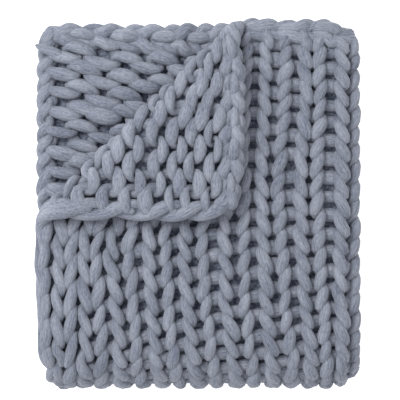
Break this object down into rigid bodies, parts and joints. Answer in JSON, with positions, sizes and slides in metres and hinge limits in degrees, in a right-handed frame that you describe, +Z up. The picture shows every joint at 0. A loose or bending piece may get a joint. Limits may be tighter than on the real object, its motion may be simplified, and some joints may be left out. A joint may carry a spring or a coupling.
{
  "type": "chunky knit blanket",
  "caption": "Throw of very thick stockinette knit, folded to a quarter with its top far corner turned back.",
  "frame": {"origin": "middle of the folded blanket on the surface that it lies on", "axes": "+Z up out of the surface, +X towards the folded right edge, -Y towards the folded near edge"},
  "size_m": [0.655, 0.749, 0.2202],
  "materials": {
    "yarn": "matte unspun wool yarn, blue-grey"
  },
  "bodies": {
    "root": {"blanket": "yarn"}
  },
  "joints": []
}
